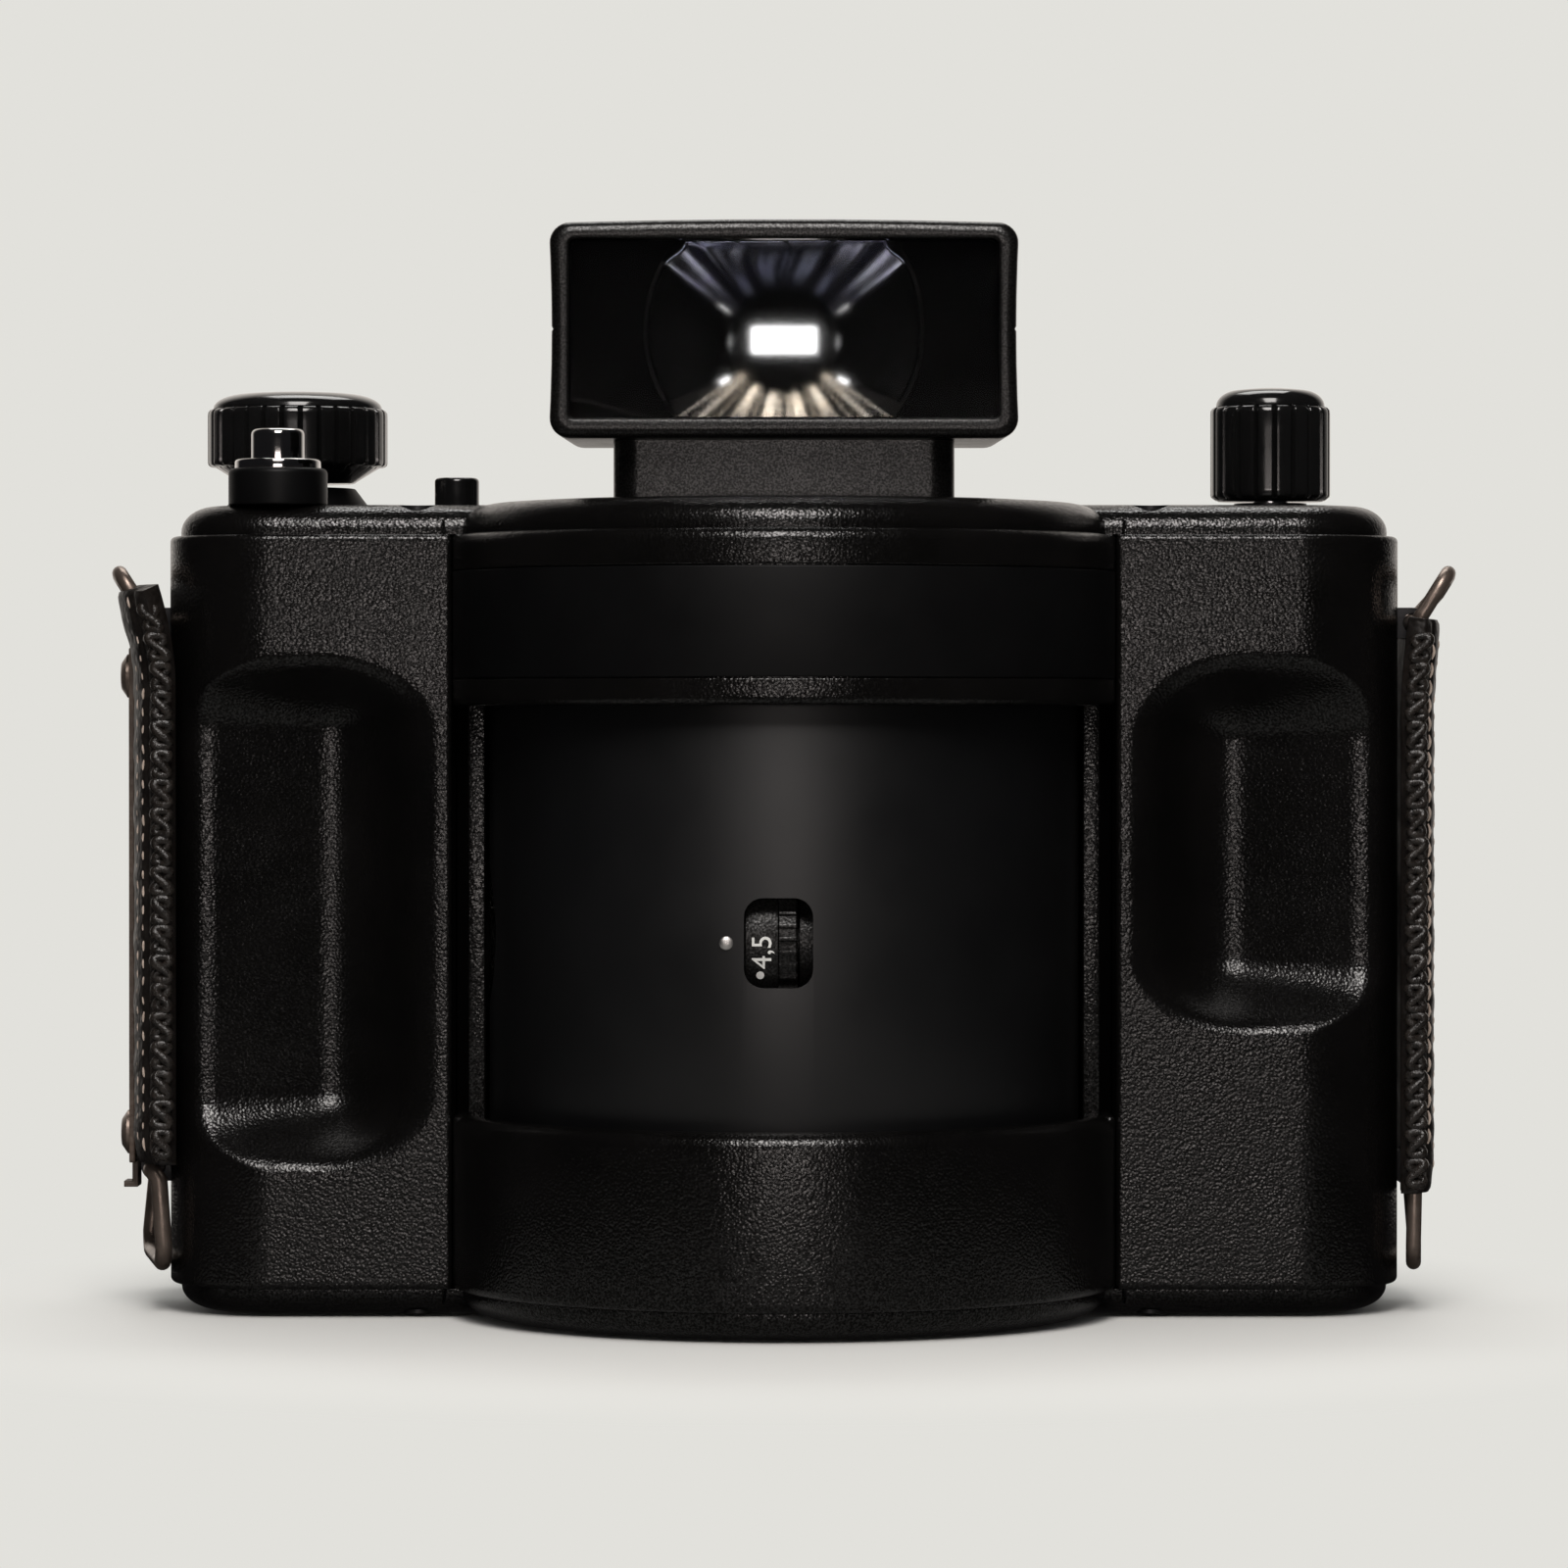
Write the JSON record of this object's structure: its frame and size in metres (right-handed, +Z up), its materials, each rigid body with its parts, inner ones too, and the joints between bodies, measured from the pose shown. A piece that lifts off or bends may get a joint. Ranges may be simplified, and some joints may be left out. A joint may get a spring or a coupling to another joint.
{
  "type": "panoramic camera",
  "caption": "Panoramic film camera with a rotating lens drum between two recessed grips, a box viewfinder, a ribbed wind knob, a release and leather hand straps.",
  "frame": {"origin": "centre of the tripod socket's mouth in the base, under the drum axis", "axes": "+Z up along the drum axis, -Y to the front where the drum shows, +X along the body"},
  "size_m": [0.2212, 0.115, 0.1771],
  "materials": {
    "grained_black": "fine grained black paint",
    "satin_black": "satin black paint",
    "matte_black": "matte black paint",
    "gloss_black": "polished",
    "wheel_black": "satin",
    "deck_aluminium": "satin",
    "steel": "turned",
    "dark_steel": "blackened",
    "brass": "machined",
    "chrome": "polished",
    "ring_steel": "worn bronze plate",
    "strap_leather": "worn",
    "glass": "coated",
    "board": "matte",
    "inner_plastic": "matte",
    "dial_white": "matte"
  },
  "bodies": {
    "body": {"left_grip_shell": "grained_black", "right_grip_shell": "grained_black", "drum_housing": "grained_black", "name_band": "satin_black", "top_cover": "grained_black", "base_cover": "grained_black", "upper_deck": "deck_aluminium", "lower_deck": "deck_aluminium", "film_gate": "matte_black", "left_spool_chamber": "matte_black", "right_spool_chamber": "matte_black", "drum_bearings": "brass", "drive_motor": "steel", "circuit_board": "board", "battery_holder": "inner_plastic", "tripod_socket": "steel", "release_collar": "satin_black", "wind_boss": "satin_black", "supply_boss": "satin_black", "finder_neck": "grained_black", "finder_lower_shell": "grained_black", "finder_upper_shell": "grained_black", "finder_front_lens": "glass", "finder_eyepiece": "glass", "strap_lugs": "dark_steel", "left_strap_pad": "strap_leather", "right_strap_pad": "strap_leather", "left_strap_belt": "strap_leather", "strap_rivets": "ring_steel", "door_hinge": "dark_steel", "cover_screws": "dark_steel"},
    "drum": {"drum_shell": "matte_black", "drum_plates": "matte_black", "drum_gear": "brass", "lens_barrel": "matte_black", "lens_elements": "glass", "index_pin": "chrome"},
    "iris_wheel": {"aperture_wheel": "wheel_black"},
    "iris_ring": {"aperture_ring": "brass"},
    "pinion": {"motor_pinion": "brass"},
    "winder": {"wind_knob": "gloss_black", "wind_shaft": "steel", "take_up_spool": "inner_plastic"},
    "counter": {"counter_dial": "dial_white"},
    "supply_carrier": {"supply_sleeve": "steel"},
    "supply_turner": {"supply_knob": "gloss_black", "supply_spindle": "steel"},
    "release": {"shutter_button": "chrome"},
    "side_button": {"small_button": "gloss_black"},
    "door": {"back_door": "grained_black", "pressure_plate": "matte_black"},
    "latch": {"door_latch": "satin_black"},
    "ring_left_up": {"left_upper_ring": "ring_steel"},
    "ring_left_low": {"left_lower_ring": "ring_steel"},
    "ring_right_up": {"right_upper_ring": "ring_steel"},
    "ring_right_low": {"right_lower_ring": "ring_steel"},
    "cap": {"battery_cap": "satin_black"},
    "dial": {"speed_dial": "gloss_black"},
    "roller_left": {"left_guide_roller": "deck_aluminium"},
    "roller_right": {"right_guide_roller": "deck_aluminium"}
  },
  "joints": [
    {"name": "drum_turn", "type": "hinge", "parent": "body", "child": "drum", "pos_m": [0, 0, 0.0665], "axis": [0, 0, 1], "continuous": true},
    {"name": "aperture_wheel_turn", "type": "hinge", "parent": "drum", "child": "iris_wheel", "pos_m": [0, -0.032, 0.0625], "axis": [1, 0, 0], "range_deg": [0, 120]},
    {"name": "aperture_ring_turn", "type": "hinge", "parent": "drum", "child": "iris_ring", "pos_m": [0, 0, 0.0625], "axis": [1, 0, 0], "range_deg": [-72, 0]},
    {"name": "motor_pinion_turn", "type": "hinge", "parent": "body", "child": "pinion", "pos_m": [0.0406, 0.03407, 0.0235], "axis": [0, 0, 1], "continuous": true},
    {"name": "wind_turn", "type": "hinge", "parent": "body", "child": "winder", "pos_m": [-0.083, 0.038, 0.12], "axis": [0, 0, 1], "continuous": true},
    {"name": "counter_turn", "type": "hinge", "parent": "body", "child": "counter", "pos_m": [-0.0636, 0.0268, 0.125], "axis": [0, 0, 1], "continuous": true},
    {"name": "supply_lift", "type": "slide", "parent": "body", "child": "supply_carrier", "axis": [0, 0, 1], "range_m": [0, 0.009]},
    {"name": "supply_turn", "type": "hinge", "parent": "supply_carrier", "child": "supply_turner", "pos_m": [0.083, 0.038, 0.14], "axis": [0, 0, 1], "continuous": true},
    {"name": "release_press", "type": "slide", "parent": "body", "child": "release", "axis": [0, 0, -1], "range_m": [0, 0.0025], "stiffness_N_per_m": 300, "springref_m": -0.002},
    {"name": "side_button_press", "type": "slide", "parent": "body", "child": "side_button", "axis": [0, 0, -1], "range_m": [0, 0.0015], "stiffness_N_per_m": 300, "springref_m": -0.002},
    {"name": "door_open", "type": "hinge", "parent": "body", "child": "door", "pos_m": [-0.10475, 0.05312, 0.0665], "axis": [0, 0, 1], "range_deg": [0, 120]},
    {"name": "latch_slide", "type": "slide", "parent": "door", "child": "latch", "axis": [0, 0, 1], "range_m": [0, 0.006]},
    {"name": "right_upper_ring_swing", "type": "hinge", "parent": "body", "child": "ring_right_up", "pos_m": [0.1043, 0.0137, 0.1138], "axis": [0, 1, 0], "range_deg": [-32, 55]},
    {"name": "left_upper_ring_swing", "type": "hinge", "parent": "body", "child": "ring_left_up", "pos_m": [-0.1043, 0.0137, 0.1138], "axis": [0, -1, 0], "range_deg": [-32, 55]},
    {"name": "right_lower_ring_swing", "type": "hinge", "parent": "body", "child": "ring_right_low", "pos_m": [0.1043, 0.0137, 0.0236], "axis": [0, -1, 0], "range_deg": [0, 60]},
    {"name": "left_lower_ring_swing", "type": "hinge", "parent": "body", "child": "ring_left_low", "pos_m": [-0.1043, 0.0137, 0.0236], "axis": [0, 1, 0], "range_deg": [0, 60]},
    {"name": "battery_cap_turn", "type": "hinge", "parent": "body", "child": "cap", "pos_m": [-0.0819, 0.011, 0.002], "axis": [0, 0, 1], "range_deg": [0, 60]},
    {"name": "speed_dial_turn", "type": "hinge", "parent": "body", "child": "dial", "pos_m": [0, 0.036, 0.135], "axis": [0, 0, 1], "range_deg": [0, 300]},
    {"name": "left_roller_turn", "type": "hinge", "parent": "body", "child": "roller_left", "pos_m": [-0.0575, 0.014, 0.0625], "axis": [0, 0, 1], "continuous": true},
    {"name": "right_roller_turn", "type": "hinge", "parent": "body", "child": "roller_right", "pos_m": [0.0575, 0.014, 0.0625], "axis": [0, 0, 1], "continuous": true}
  ],
  "couplings": [
    {"joint": "aperture_ring_turn", "follows": "aperture_wheel_turn", "ratio": -0.6},
    {"joint": "motor_pinion_turn", "follows": "drum_turn", "ratio": -5.625},
    {"joint": "counter_turn", "follows": "wind_turn", "ratio": -0.4}
  ]
}
